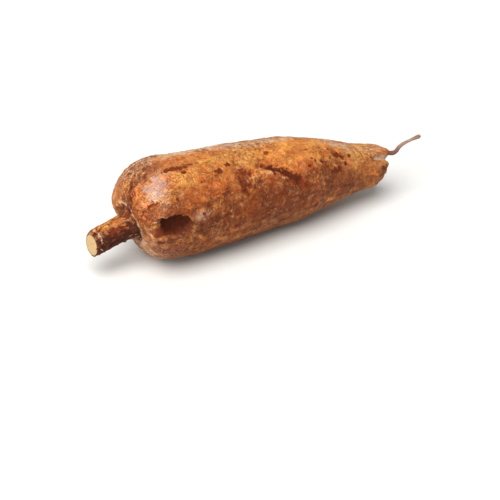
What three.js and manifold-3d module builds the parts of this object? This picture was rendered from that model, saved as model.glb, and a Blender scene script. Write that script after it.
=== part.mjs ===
// A whole cassava root as dug and waxed for market: a woody neck with its sawn end, a swollen
// shoulder that folds over the base of the neck, a body that tapers to a blunt split tip, and the
// thin tail root that runs on from it. It grew in one piece, so it is one closed solid.
//
// Millimetres. +X runs from the neck to the tail, +Z is up, and the root lies on z = 0.
// The skin is a lathed outline, pushed in and out along its normals by the relief below, and then
// bent along the root's centreline. A place on the skin is given as its distance along the axis,
// from the front of the shoulder, and its angle round it in degrees: 0 faces -Y and 90 is up.
import * as THREE from "three";
import { mergeVertices } from "three/addons/utils/BufferGeometryUtils.js";
import Module from "manifold-3d";

// Outline of the root as [distance along the axis, radius], from the rim of the sawn end to the
// pole of the tip.
const outline = [
  [-36.8, 8],
  [-35.8, 8.8],
  [-26, 9.1],
  [-14, 9.4],
  [-6, 10.2],
  [-1.5, 11.4],
  [-1.2, 13],
  [-3.6, 15.6],
  [-4.2, 20],
  [-1.6, 28],
  [6, 34.8],
  [20, 38.6],
  [46, 39.5],
  [75, 38],
  [105, 35.5],
  [132, 34],
  [158, 28.5],
  [180, 22.5],
  [198, 18.8],
  [211, 16.8],
  [218, 13],
  [221, 6.5],
  [221.5, 0],
];
// The saw cut leans: how far it is cut back for each millimetre away from its middle, the angle
// round the neck where it is cut back most, and the distances between which the lean fades out.
const sawCut = { slope: 0.32, angle: 80, from: -36.8, to: -22 };
const ringsAlong = 104;
const sidesRound = 46;

// Centreline of the root as [x, y, z].
const centreline = [
  [-36, -7.5, 27],
  [-13, -4, 32.6],
  [15, -1, 37.3],
  [50, 2, 39],
  [90, 5, 37.5],
  [130, 8, 36],
  [165, 10.5, 33.5],
  [195, 11, 30],
  [221, 9, 27.8],
];

// The tail root's centreline as [x, y, z], and its outline as [share of its length, radius].
const tailLine = [
  [213, 8.4, 36],
  [221, 8.2, 38.4],
  [227, 8, 37.2],
  [230.5, 8.6, 37.9],
  [233, 9, 40.4],
  [237, 9, 43],
  [242, 8.5, 44.8],
  [247, 8, 46.5],
  [252.5, 8.3, 47.2],
];
const tailOutline = [
  [0, 2.2],
  [0.2, 2],
  [0.35, 1.9],
  [0.48, 1.8],
  [0.58, 1.65],
  [0.72, 1.4],
  [0.86, 1.3],
  [0.96, 1.6],
  [1, 1],
];
const tailRings = 20;
const tailSides = 8;

// Broad swells and hollows: [distance, angle, reach along, reach round, height].
const swells = [
  [19, 112, 17, 24, 4.4],    // upper lobe of the shoulder, behind the neck
  [15, 52, 13, 17, 1.4],     // front lobe of the shoulder
  [16, -78, 26, 26, -2.2],   // the shoulder is drawn up underneath
  [12, -20, 13, 12, 1.6],    // lower lobe, in front
  [60, 120, 18, 24, -1.6],
  [42, 14, 22, 14, 1],
  [73, 45, 7, 26, -1.1],     // ring where growth paused
  [100, 26, 17, 9, 1.5],     // fold in front, below the slanting crease
  [112, -90, 34, 22, 1.9],   // the belly that it lies on
  [96, 200, 26, 22, 1.6],
  [146, 20, 12, 18, 1],
  [150, 170, 15, 20, -1.3],
  [178, 60, 14, 16, -0.6],
  [172, -60, 20, 16, 1.2],
  [213, 78, 8, 10, 1.6],     // upper beak of the split tip
  [219, 72, 4, 6, 2.6],      // and its point
  [216, -28, 7, 10, -2.6],   // lower half of the tip, worn away
];

// Creases: [distance, angle] at each end, width and depth.
const creases = [
  [-5, 84, 5, 98, 3.5, 1.3],      // between the two lobes of the shoulder
  [93, 56, 106, 48, 3.6, 1.1],    // slanting crease in front
  [106, 48, 123, 27, 4.2, 1.9],
  [60, 16, 66, 44, 4, 0.7],
  [34, 150, 52, 196, 4.5, 1.2],
  [120, 128, 133, 166, 4.5, 1.1],
  [150, -30, 158, 14, 4, 0.8],
  [205, 50, 224, 56, 2.8, 3.6],   // the split in the tip
];

// The scar in front, an oval hollow under a ledge: its middle, how far it leans, half sizes, depth.
const scar = { distance: 15.5, angle: 13, lean: -0.33, long: 14, high: 6.8, deep: 5 };
const ledge = [2, 31, 28, 22, 4.5, -1]; // as a crease, raised

const middle = [-107.07, -1.4]; // brings the bounding box's middle to x = 0, y = 0

const toRadians = THREE.MathUtils.degToRad;
const bell = (x) => Math.exp(-x * x);

// How far round the skin a place lies past an angle, in millimetres.
function arc(phi, angle, radius) {
  const turn = phi - toRadians(angle);
  return Math.atan2(Math.sin(turn), Math.cos(turn)) * radius;
}

function crease(a, phi, radius, [startA, startAngle, endA, endAngle, width, depth]) {
  const run = endA - startA;
  const rise = toRadians(endAngle - startAngle) * radius;
  const x = a - startA;
  const y = arc(phi, startAngle, radius);
  const share = THREE.MathUtils.clamp((x * run + y * rise) / (run * run + rise * rise), 0, 1);
  return -depth * bell(Math.hypot(x - share * run, y - share * rise) / width);
}

function scarRelief(a, phi, radius) {
  const x = a - scar.distance;
  const y = arc(phi, scar.angle, radius) - scar.lean * x;
  const away = Math.hypot(x / scar.long, y / scar.high);
  return -scar.deep * (1 - THREE.MathUtils.smoothstep(away, 0.45, 1.15));
}

// How far the skin stands out at a place, in millimetres.
function relief(a, phi, radius) {
  if (radius < 12.5 && a < 0) {
    // the neck's shallow ridges, which fade at its base and at the cut
    return 0.4 * Math.cos(5 * phi + a / 9) * THREE.MathUtils.smoothstep(radius, 8.8, 9.1);
  }
  let push = 0.35 * Math.sin(2 * phi + a / 25 + 0.8) + 0.35 * Math.sin(3 * phi - a / 19);
  push += 0.25 * Math.sin(a / 9 + 1.4 * Math.sin(phi));
  push *= THREE.MathUtils.smoothstep(radius, 12, 30);
  for (const [at, angle, along, round, height] of swells) {
    push += height * bell((a - at) / along) * bell(arc(phi, angle, radius) / round);
  }
  for (const line of creases) push += crease(a, phi, radius, line);
  return push + crease(a, phi, radius, ledge) + scarRelief(a, phi, radius);
}

// The place on a curve and the cross-section's two directions there.
function section(curve, share) {
  const point = curve.getPoint(share);
  const along = curve.getTangent(share);
  const side = new THREE.Vector3(0, 0, 1).cross(along).normalize();
  const up = along.clone().cross(side);
  return { point, along, side, up };
}

const smoothLine = (places) =>
  new THREE.CatmullRomCurve3(places.map((place) => new THREE.Vector3(...place)), false, "centripetal");

// The centreline's section at a distance along the axis, which is the centreline's own x.
const centre = smoothLine(centreline);
function sectionAt(distance) {
  const inside = THREE.MathUtils.clamp(distance, centreline[0][0], centreline.at(-1)[0]);
  let low = 0;
  let high = 1;
  for (let i = 0; i < 30; i++) {
    const mid = (low + high) / 2;
    if (centre.getPoint(mid).x < inside) low = mid;
    else high = mid;
  }
  const found = section(centre, low);
  found.point.addScaledVector(found.along, distance - inside);
  return found;
}

// A closed lathe along +Y of [distance, radius], with only its positions left.
function turned(profile, rings, sides) {
  const points = smoothLine(profile.map(([a, r]) => [r, a, 0])).getSpacedPoints(rings);
  points.unshift(new THREE.Vector3(0, profile[0][0], 0));
  if (profile.at(-1)[1] > 0) points.push(new THREE.Vector3(0, profile.at(-1)[0], 0));
  const lathe = new THREE.LatheGeometry(points, sides);
  lathe.deleteAttribute("uv");
  lathe.deleteAttribute("normal");
  return mergeVertices(lathe, 1e-3);
}

// How far the saw cut's lean moves a place along the axis, in millimetres.
function lean(a, phi, radius) {
  const share = 1 - THREE.MathUtils.smoothstep(a, sawCut.from, sawCut.to);
  return sawCut.slope * share * radius * Math.cos(phi - toRadians(sawCut.angle));
}

// Moves each vertex of a lathe from the straight axis into its section of a curve.
function bend(lathe, sectionOf, pushOf, leanOf) {
  lathe.computeVertexNormals();
  const p = lathe.getAttribute("position");
  const n = lathe.getAttribute("normal");
  for (let i = 0; i < p.count; i++) {
    const place = [p.getY(i), Math.atan2(p.getZ(i), p.getX(i)), Math.hypot(p.getX(i), p.getZ(i))];
    const push = pushOf(...place);
    const away = p.getX(i) + push * n.getX(i);
    const height = p.getZ(i) + push * n.getZ(i);
    const { point, side, up } = sectionOf(p.getY(i) + push * n.getY(i) + leanOf(...place));
    point.addScaledVector(side, -away).addScaledVector(up, height);
    p.setXYZ(i, point.x + middle[0], point.y + middle[1], Math.max(point.z, 0));
  }
  lathe.deleteAttribute("normal");
  return lathe;
}

const wasm = await Module();
wasm.setup();

function solid(geometry) {
  const vertProperties = new Float32Array(geometry.getAttribute("position").array);
  const triVerts = new Uint32Array(geometry.index.array);
  return new wasm.Manifold(new wasm.Mesh({ numProp: 3, vertProperties, triVerts }));
}

const tailCurve = smoothLine(tailLine);
const body = solid(bend(turned(outline, ringsAlong, sidesRound), sectionAt, relief, lean));
const tailSection = (share) => section(tailCurve, share);
const tail = solid(bend(turned(tailOutline, tailRings, tailSides), tailSection, () => 0, () => 0));
const joined = body.add(tail).getMesh();

const skin = new THREE.BufferGeometry();
skin.setAttribute("position", new THREE.BufferAttribute(joined.vertProperties, 3));
skin.setIndex(new THREE.BufferAttribute(joined.triVerts, 1));

const bark = new THREE.MeshStandardMaterial({ color: 0xb87340, roughness: 0.55, metalness: 0 });
const root = new THREE.Mesh(skin, bark);
root.name = "cassava_root";
const group = new THREE.Group();
group.add(root);
export default group;
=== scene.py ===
# A whole waxed cassava root: the bark skin with its scar, folds and split tip, the sawn neck, the
# thin tail root and the lifted chips of bark, lying on a pale floor under soft light.
import math
import random

import bmesh
import bpy
import numpy as np
from mathutils import Matrix, Vector, kdtree, noise


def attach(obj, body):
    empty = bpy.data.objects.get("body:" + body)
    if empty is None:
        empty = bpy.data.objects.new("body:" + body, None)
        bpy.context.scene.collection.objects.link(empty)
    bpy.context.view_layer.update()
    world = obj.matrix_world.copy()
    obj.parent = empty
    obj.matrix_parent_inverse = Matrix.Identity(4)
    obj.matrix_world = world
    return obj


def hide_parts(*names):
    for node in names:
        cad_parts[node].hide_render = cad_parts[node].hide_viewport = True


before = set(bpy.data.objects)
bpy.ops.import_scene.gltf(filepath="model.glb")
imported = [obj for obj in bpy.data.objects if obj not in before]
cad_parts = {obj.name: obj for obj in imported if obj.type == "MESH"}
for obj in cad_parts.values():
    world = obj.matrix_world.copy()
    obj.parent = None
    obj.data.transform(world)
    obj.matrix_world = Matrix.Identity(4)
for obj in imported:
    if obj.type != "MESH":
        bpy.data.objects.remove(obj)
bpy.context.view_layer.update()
mm = 0.001  # shapes are worked out in millimetres and made in metres

# The root's lines: [distance along the axis, radius] and [x, y, z]. A place on the skin is given as
# its distance along the axis, from the front of the shoulder, and its angle round it in degrees:
# 0 faces -Y and 90 is up.
rootShape = {
    "outline": [
        (-36.8, 8), (-35.8, 8.8), (-26, 9.1), (-14, 9.4), (-6, 10.2), (-1.5, 11.4), (-1.2, 13),
        (-3.6, 15.6), (-4.2, 20), (-1.6, 28), (6, 34.8), (20, 38.6), (46, 39.5), (75, 38), (105, 35.5),
        (132, 34), (158, 28.5), (180, 22.5), (198, 18.8), (211, 16.8), (218, 13), (221, 6.5), (221.5, 0),
    ],
    "centreline": [
        (-36, -7.5, 27), (-13, -4, 32.6), (15, -1, 37.3), (50, 2, 39), (90, 5, 37.5), (130, 8, 36),
        (165, 10.5, 33.5), (195, 11, 30), (221, 9, 27.8),
    ],
    "middle": (-107.07, -1.4, 0),  # brings the bounding box's middle to x = 0, y = 0
    "grainRadius": 34,
    "neckRun": 44.8,    # how far along the skin the neck reaches, from the middle of its cut
    "rings": 430,
    "cutRings": 12,
    "sides": 214,
}

# The thin tail root: its centreline, and its outline as [share of its length, radius].
tailShape = {
    "line": [
        (213, 8.4, 36), (221, 8.2, 38.4), (227, 8, 37.2), (230.5, 8.6, 37.9), (233, 9, 40.4),
        (237, 9, 43), (242, 8.5, 44.8), (247, 8, 46.5), (252.5, 8.3, 47.2),
    ],
    "outline": [
        (0, 2.2), (0.2, 2), (0.35, 1.9), (0.48, 1.8), (0.58, 1.65), (0.72, 1.4), (0.86, 1.5),
        (0.96, 1.8), (1, 1.2),
    ],
    "rings": 150,
    "sides": 28,
}

# The saw cut leans: how far it is cut back for each millimetre away from its middle, the angle
# round the neck where it is cut back most, and the distances between which the lean fades out.
sawCut = {"slope": 0.32, "angle": 80, "from": -36.8, "to": -22}

# Broad swells and hollows: [distance, angle, reach along, reach round, height].
swells = [
    (19, 112, 17, 24, 4.4),    # upper lobe of the shoulder, behind the neck
    (15, 52, 13, 17, 1.4),     # front lobe of the shoulder
    (16, -78, 26, 26, -2.2),   # the shoulder is drawn up underneath
    (12, -20, 13, 12, 1.6),    # lower lobe, in front
    (60, 120, 18, 24, -1.6),
    (42, 14, 22, 14, 1),
    (73, 45, 7, 26, -1.1),     # ring where growth paused
    (100, 26, 17, 9, 1.5),     # fold in front, below the slanting crease
    (112, -90, 34, 22, 1.9),   # the belly that it lies on
    (96, 200, 26, 22, 1.6),
    (146, 20, 12, 18, 1),
    (150, 170, 15, 20, -1.3),
    (178, 60, 14, 16, -0.6),
    (172, -60, 20, 16, 1.2),
    (213, 78, 8, 10, 1.6),     # upper beak of the split tip
    (219, 72, 4, 6, 2.6),      # and its point
    (216, -28, 7, 10, -2.6),   # lower half of the tip, worn away
]

tipSplit = (205, 50, 224, 56, 3.2, 2.8)
scarLedge = (2, 31, 28, 22, 4.5, -1)  # raised

# Creases: [distance, angle] at each end, width and depth.
creases = [
    (-5, 84, 5, 98, 3.5, 1.3),      # between the two lobes of the shoulder
    (93, 56, 106, 48, 3.6, 1.1),    # slanting crease in front
    (106, 48, 123, 27, 4.2, 1.9),
    (60, 16, 66, 44, 4, 0.7),
    (34, 150, 52, 196, 4.5, 1.2),
    (120, 128, 133, 166, 4.5, 1.1),
    (150, -30, 158, 14, 4, 0.8),
    tipSplit,
    scarLedge,
]

# The scar in front, an oval hollow under the ledge: its middle, lean, half sizes and depth.
scar = {"distance": 15.5, "angle": 13, "lean": -0.33, "long": 14, "high": 6.8, "deep": 5, "taper": 0.25}

# The bark's noise: the size of its lumps in millimetres (one number, or along the root and across
# it), a shift that makes each its own, and octaves.
barkGrain = {
    "mottle": (5, 1, 4),
    "speckle": (2.6, 12, 3),
    "patchy": (16, 2, 3),
    "scaly": (22, 16, 3),
    "lump": (9, 3, 3),
    "pebble": (3.6, 4, 3),
    "grit": (1.8, 5, 2),
    "wrinkle": ((3.2, 11, 11), 6, 2),
    "groove": ((13, 3.6, 3.6), 10, 2),
    "flake": ((17, 8, 8), 9, 3),
    "neckGrain": ((13, 1.9, 1.9), 8, 3),
    "scarFibre": ((7, 1.3, 1.3), 7, 3),
    "comb": ((11, 2.3, 2.3), 17, 2),
    "tailFibre": ((5, 0.9, 0.9), 13, 3),
    "tailRing": ((3, 6, 6), 14, 3),
    "tailBase": (6, 15, 3),
}


def bell(x):
    return np.exp(-x * x)


def ease(x, low, high):
    share = np.clip((x - low) / (high - low), 0, 1)
    return share * share * (3 - 2 * share)


def lumps(places, name):
    # fractal noise, about -1 to 1
    size, shift, octaves = barkGrain[name]
    step = Vector((shift * 17.3, shift * -9.1, shift * 5.7))
    return np.array([noise.fractal(Vector(p) + step, 0.8, 2.1, octaves) for p in places / size])


def smoothLine(places, perSpan=24):
    # a centripetal Catmull-Rom curve through the places, as many short steps
    p = np.array(places, float)
    p = np.vstack([2 * p[0] - p[1], p, 2 * p[-1] - p[-2]])
    gaps = np.sqrt(np.linalg.norm(np.diff(p, axis=0), axis=1))
    t = np.linspace(0, 1, perSpan, endpoint=False)[:, None]
    spans = []
    for i in range(1, len(p) - 2):
        before, here, after = gaps[i - 1:i + 2]
        chord = p[i + 1] - p[i]
        leave = ((p[i] - p[i - 1]) / before - (p[i + 1] - p[i - 1]) / (before + here)) * here + chord
        arrive = ((p[i + 2] - p[i + 1]) / after - (p[i + 2] - p[i]) / (here + after)) * here + chord
        bow = 3 * chord - 2 * leave - arrive
        spans.append(p[i] + t * leave + t ** 2 * bow + t ** 3 * (leave + arrive - 2 * chord))
    return np.vstack(spans + [p[-2:-1]])


def runAlong(line):
    # how far along a line each of its points lies
    return np.concatenate([[0], np.cumsum(np.linalg.norm(np.diff(line, axis=0), axis=1))])


def evenly(line, count):
    # the line again, as evenly spaced points
    run = runAlong(line)
    at = np.linspace(0, run[-1], count + 1)
    return np.column_stack([np.interp(at, run, column) for column in line.T])


def unit(vectors):
    return vectors / np.maximum(np.linalg.norm(vectors, axis=1, keepdims=True), 1e-9)


def bendAlong(line, marks, places):
    # moves places [distance, sideways, up] about a straight axis to a line whose points have marks
    inside = np.clip(places[:, 0], marks[0], marks[-1])
    slopes = unit(np.gradient(line, axis=0))
    point = np.column_stack([np.interp(inside, marks, column) for column in line.T])
    along = unit(np.column_stack([np.interp(inside, marks, column) for column in slopes.T]))
    side = unit(np.cross((0, 0, 1), along))
    up = np.cross(along, side)
    return point + along * (places[:, :1] - inside[:, None]) + side * places[:, 1:2] + up * places[:, 2:3]


def spunSkin(name, profile, sides):
    # spins [distance, radius] about the X axis into a closed skin, and keeps how far along the
    # profile each ring is
    run = runAlong(profile)
    bm = bmesh.new()
    alongSkin = bm.verts.layers.float.new("alongSkin")
    rim = [bm.verts.new((distance, -radius, 0)) for distance, radius in profile]
    for vert, at in zip(rim, run):
        vert[alongSkin] = at
    edges = [bm.edges.new(pair) for pair in zip(rim, rim[1:])]
    bmesh.ops.spin(bm, geom=rim + edges, cent=(0, 0, 0), axis=(1, 0, 0), angle=2 * math.pi, steps=sides,
                   use_merge=True)
    bmesh.ops.remove_doubles(bm, verts=bm.verts, dist=1e-4)
    bmesh.ops.recalc_face_normals(bm, faces=bm.faces)
    mesh = bpy.data.meshes.new(name)
    bm.to_mesh(mesh)
    bm.free()
    mesh.shade_smooth()
    return mesh


def placesOf(mesh, what="co"):
    values = np.zeros(len(mesh.vertices) * 3)
    mesh.vertices.foreach_get(what, values)
    return values.reshape(-1, 3)


def movePlaces(mesh, places):
    mesh.vertices.foreach_set("co", places.ravel())
    mesh.update()


def paint(mesh, name, values):
    # one number for each point of the skin, or a colour or place where there are more
    kinds = {1: ("FLOAT", "value"), 3: ("FLOAT_VECTOR", "vector"), 4: ("FLOAT_COLOR", "color")}
    width = 1 if values.ndim == 1 else values.shape[1]
    kind, field = kinds[width]
    layer = mesh.attributes.new(name, kind, "POINT")
    layer.data.foreach_set(field, values.astype(np.float32).ravel())


def linearColour(code):
    # "#rrggbb" in sRGB as linear red, green, blue and 1
    parts = [int(code[i:i + 2], 16) / 255 for i in (1, 3, 5)]
    return [p / 12.92 if p <= 0.04045 else ((p + 0.055) / 1.055) ** 2.4 for p in parts] + [1.0]


def addPiece(name, mesh, *materials):
    piece = bpy.data.objects.new(name, mesh)
    bpy.context.scene.collection.objects.link(piece)
    for material in materials:
        mesh.materials.append(material)
    return piece


def past(skin, angle):
    # how far round the skin each point lies past an angle, in millimetres
    turn = skin["phi"] - np.radians(angle)
    return np.arctan2(np.sin(turn), np.cos(turn)) * skin["radius"]


def fromSpot(skin, at, angle, along, round_):
    # 0 in the middle of a spot on the skin, 1 on its edge
    return np.hypot((skin["a"] - at) / along, past(skin, angle) / round_)


def spot(skin, *place):
    # 1 in the middle of a spot on the skin, and fading out past its edge
    return bell(fromSpot(skin, *place))


def fromCrease(skin, line):
    # how far each point lies from a crease's line, in millimetres
    startA, startAngle, endA, endAngle = line[:4]
    run = endA - startA
    rise = math.radians(endAngle - startAngle) * skin["radius"]
    x = skin["a"] - startA
    y = past(skin, startAngle)
    share = np.clip((x * run + y * rise) / (run * run + rise * rise), 0, 1)
    return np.hypot(x - share * run, y - share * rise)


def fromLine(skin, places):
    # how far each point lies from a line of several places, in millimetres
    return np.minimum.reduce([fromCrease(skin, (*start, *end)) for start, end in zip(places, places[1:])])


def fromScar(skin):
    # 0 in the scar's middle, 1 on its edge
    beside = skin["a"] - scar["distance"]
    x = beside / scar["long"]
    y = past(skin, scar["angle"]) - scar["lean"] * beside
    return np.hypot(x, y / (scar["high"] * (1 + scar["taper"] * np.clip(x, -1, 1))))


def onNeck(skin):
    return (skin["radius"] < 12.5) & (skin["a"] < 0)


def mainRelief(skin):
    # how far the skin stands out, in millimetres: the same forms that the solid has
    a, phi, radius = skin["a"], skin["phi"], skin["radius"]
    push = 0.35 * np.sin(2 * phi + a / 25 + 0.8) + 0.35 * np.sin(3 * phi - a / 19)
    push += 0.25 * np.sin(a / 9 + 1.4 * np.sin(phi))
    push *= ease(radius, 12, 30)
    for *place, height in swells:
        push += height * spot(skin, *place)
    for *line, width, depth in creases:
        push -= depth * bell(fromCrease(skin, line) / width)
    push -= scar["deep"] * (1 - ease(fromScar(skin), 0.45, 1.15))
    neck = 0.4 * np.cos(5 * phi + a / 9) * ease(radius, 8.8, 9.1)
    return np.where(onNeck(skin), neck, push)


# The bark's own colours, and some that also serve as painted shade, painted sheen and painted highlight.
skinColours = {
    "ochre": "#ce8a46",
    "orange": "#c67636",
    "golden": "#c98f4a",
    "smooth": "#d0873f",
    "vivid": "#bb5c26",
    "rust": "#a05222",
    "russet": "#74340f",
    "plum": "#85503a",
    # dust, and a painted sheen
    "dustAndSheen": "#d0aa8a",
    "tan": "#f0c09a",
    "silver": "#ae9080",
    "brown": "#8a552f",
    "umber": "#4f240d",
    "maroon": "#46190a",
    # dark bark, and painted shade in the neck's socket and the scar's pit
    "darkBarkAndShade": "#2a1208",
    # paler wax, and a painted highlight
    "wax": "#b8968b",
}

# Patches of the skin's colour, some of them also painted light and shade as noted, painted in this order:
# [distance, angle, half along, half round, colour, strength].
patches = [
    (110, -52, 110, 26, "brown", 0.8),
    # The lower front of the body and the tip: russet bark, made darker as painted shade.
    (100, 8, 80, 24, "russet", 0.95),
    (180, 6, 34, 16, "russet", 0.7),
    (30, -50, 60, 24, "russet", 0.5),
    (24, 32, 30, 13, "russet", 0.8),
    (75, 38, 7, 16, "russet", 0.8),
    (118, 26, 16, 9, "russet", 0.6),
    (50, 40, 18, 9, "rust", 0.6),
    (100, 30, 14, 6, "russet", 0.3),
    (120, 72, 30, 15, "smooth", 0.75),
    (58, 74, 16, 9, "golden", 0.75),
    (85, 71, 12, 9, "golden", 0.6),
    (40, 56, 12, 6, "golden", 0.5),
    (188, 68, 18, 17, "golden", 0.9),
    (197, 32, 12, 9, "rust", 0.5),
    (60, 42, 18, 8, "rust", 0.5),
    (60, 54, 9, 6, "rust", 0.35),
    (129, 60, 8, 7, "rust", 0.35),
    (126, 41, 8, 5, "vivid", 0.7),
    (132, 43, 9, 5, "rust", 0.6),
    (150, 32, 10, 7, "russet", 0.6),
    (100, 38, 10, 4, "vivid", 0.4),
    (6, 40, 9, 7, "orange", 0.6),
    (14, 37, 13, 4, "plum", 0.35),
    (-3, 120, 10, 34, "orange", 0.9),
    (-6, 150, 9, 26, "ochre", 0.8),
    (-7, 158, 8, 16, "tan", 0.9),
    (-1.5, 77, 5, 10, "rust", 0.95),
    (-1, 36, 7, 6, "rust", 0.9),
    (13, 86, 11, 11, "plum", 0.65),
    (5, 106, 6, 7, "tan", 0.4),
    (6, 84, 5, 4, "umber", 0.45),
    (26, 86, 17, 8, "plum", 0.3),
    (19, 70, 6, 6, "tan", 0.4),
    (42, 75, 6, 4, "russet", 0.45),
    # Along the top: dust, and a painted sheen where the waxed top reflects the pale room.
    (100, 99, 40, 7, "dustAndSheen", 0.85),
    (172, 88, 16, 8, "dustAndSheen", 0.75),
    (205, 84, 12, 8, "dustAndSheen", 0.4),
    (45, 110, 48, 11, "dustAndSheen", 0.95),
    (140, 180, 40, 16, "dustAndSheen", 0.4),
    (60, 200, 34, 18, "plum", 0.35),
    (150, 240, 30, 14, "golden", 0.5),
    (1, -12, 16, 17, "tan", 0.3),
    (2, 4, 10, 14, "brown", 0.45),
    (11, -20, 13, 9, "plum", 0.8),
    (15, -6, 12, 6, "russet", 0.6),
    # painted light: lightens the shoulder under the neck, where the neck's shadow falls
    (0, -72, 14, 20, "tan", 0.8),
    (24, -1, 13, 6, "umber", 0.6),
    # painted shade at the left end of the scar's pit
    (7, 11, 5, 3.6, "darkBarkAndShade", 0.9),
    (40, 2, 14, 9, "umber", 0.6),
    # smooth orange bark, painted lighter where the upper lobe's rim turns under towards the neck, in shade
    (-7, 132, 8, 26, "smooth", 0.9),
    (-3, 100, 8, 10, "orange", 0.7),
    (37.6, 15, 6.5, 4.5, "silver", 0.65),
    (14, 49, 6, 8, "tan", 0.35),
    (6, 51, 5, 4, "tan", 0.4),
    # A paler waxed patch on the front lobe of the shoulder, with its highlight painted in as a pale pinkish
    # grey.
    (12.5, 60, 5, 6, "wax", 0.7),
    (14.5, 70, 3, 3.5, "wax", 0.5),
    (18.5, 58, 4.5, 3.5, "wax", 0.4),
    # The neck: ochre on top and dark maroon in front and underneath, partly its bark's own colours and
    # partly painted light and painted shade.
    (-18, 92, 22, 8, "ochre", 0.8),
    (-27, 2, 22, 10.5, "maroon", 1),
    (-27, -80, 22, 13, "maroon", 0.9),
    (-27, 190, 20, 12, "umber", 0.7),
    (-13, 36, 6, 1.6, "rust", 0.7),
    (-34.6, 60, 1.6, 9, "darkBarkAndShade", 0.8),
    (-30.5, 20, 3.5, 7, "darkBarkAndShade", 0.6),
    (-6, 97, 3, 3.5, "darkBarkAndShade", 0.9),
    (-12, 60, 7, 6, "rust", 0.5),
    (-7, 64, 2.5, 4, "umber", 0.7),
    (-2.5, 87, 2.6, 5, "russet", 0.6),
    (-4.8, 68, 2.6, 7, "russet", 0.6),
    (-3.5, 53, 3.5, 5, "russet", 0.5),
    (214, 4, 5, 5, "umber", 0.6),
    (220, 80, 4, 7, "russet", 0.7),
]

# Dark stains, where the bark has rotted or scaled off, and darker bark with painted shade along the
# slanting crease: [distance, angle, half along, half round, strength].
stainsAndCreaseShade = [
    (59.2, 58, 2.8, 2.5, 0.95), (68.5, 64, 2, 1.7, 0.9), (76.8, 55, 2.2, 1.5, 0.95),
    (78, 49.5, 3.2, 1.9, 0.95), (76, 41, 2.8, 2, 0.8), (78, 34, 3.6, 2.4, 0.9),
    # The stains from 96.6 to 126.5 along run down the slanting crease: darker bark with painted shade in
    # it.
    (60.7, 35, 1.3, 1.3, 0.8), (96.6, 56, 1.7, 1.6, 0.6), (100.5, 50, 3.6, 1.8, 0.8),
    (105, 46, 5, 3, 0.9), (109.5, 42.5, 4.4, 2.8, 0.9), (114, 36, 3.8, 2.8, 1),
    (118, 30.5, 4, 3, 1), (122.5, 24.5, 4.4, 3.2, 1), (126.5, 19, 3.6, 2.6, 0.8),
    (104.5, 71, 3.4, 2, 0.6), (134.1, 42, 1.8, 1.5, 0.9), (137.4, 66, 2.6, 1, 0.5),
    (141, 47, 1.8, 1.4, 0.8), (146.5, 44, 2, 1.6, 0.7), (139, 51, 2.2, 1.3, 0.6),
    (165, 54, 4.4, 2.6, 0.9), (169.5, 50, 2.2, 1.8, 0.8), (178, 54, 1.8, 2.2, 0.8),
    (172, 36, 2.4, 2, 0.9), (159, 28, 4.6, 3, 0.95), (164, 29, 3, 2.2, 0.8),
    (151.5, 36, 2, 1.4, 0.6), (26, 75.5, 4, 1.9, 0.95), (32, 74.5, 3.6, 2, 0.95),
    (37, 73.5, 2.6, 1.6, 0.8), (42.4, 75, 2.2, 1, 0.6), (47.5, 74, 2, 1, 0.5),
    (35.6, 66.5, 2, 1.5, 0.9), (22.7, 40, 1.4, 1.2, 0.8), (4.1, -2, 1.8, 1.6, 0.8),
    (6.2, 11, 4.6, 3, 1), (2.6, 7, 1.6, 1.1, 0.8), (82.4, 47, 2.4, 1.6, 0.8), (-20, 37, 4, 3, 0.8),
    (38, 16, 1.4, 1.2, 0.9), (1.5, 84, 2.4, 1.7, 0.8), (-1.6, 74, 2.6, 1.7, 0.85),
    (-6.8, 76, 3.2, 1.5, 0.8), (-6.7, 66, 2.4, 1.4, 0.6), (-8, 118, 1.6, 1.6, 0.6),
    (-8.5, 136, 1.8, 1.4, 0.6), (-6, 158, 1.8, 1.5, 0.6), (214, 18, 3, 3, 0.7),
    (6.5, 44, 4, 0.9, 0.6), (90, 150, 5, 3, 0.7), (50, 170, 3, 2, 0.8), (128, 205, 4, 3, 0.7),
    (20, 215, 3, 2, 0.6), (152, 120, 3, 2, 0.7), (110, -30, 4, 2, 0.6), (66, -10, 3, 2, 0.7),
    (140, -20, 3, 2.5, 0.7), (188, 150, 3, 2, 0.6), (75, 230, 4, 2, 0.6),
]

# Torn edges of the bark: [distance, angle] places along each, how far the bark above it stands out,
# the reach over which that fades, and how pale the edge is.
tornEdges = [
    ([(-3, 51), (2, 47.5), (8, 46.5), (14, 47)], 0.9, 9, 1),
    ([(11, 46), (19, 46.5), (27, 47.5), (35, 50)], 0.8, 9, 0.15),
    ([(40, 24), (52, 28), (60, 33), (68, 31)], 0.45, 6, 0.2),
    ([(84, 43), (92, 45), (99, 44), (107, 39), (114, 30)], 0.4, 3, 0.6),
    ([(17, 62), (24, 65), (33, 66)], 0.3, 4, 0.8),
    ([(150, 62), (160, 58), (171, 60)], 0.35, 5, 0.4),
    ([(60, 140), (74, 146), (90, 142)], 0.5, 7, 0.5),
    ([(110, 190), (124, 196), (138, 190)], 0.5, 7, 0.5),
]

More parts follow.
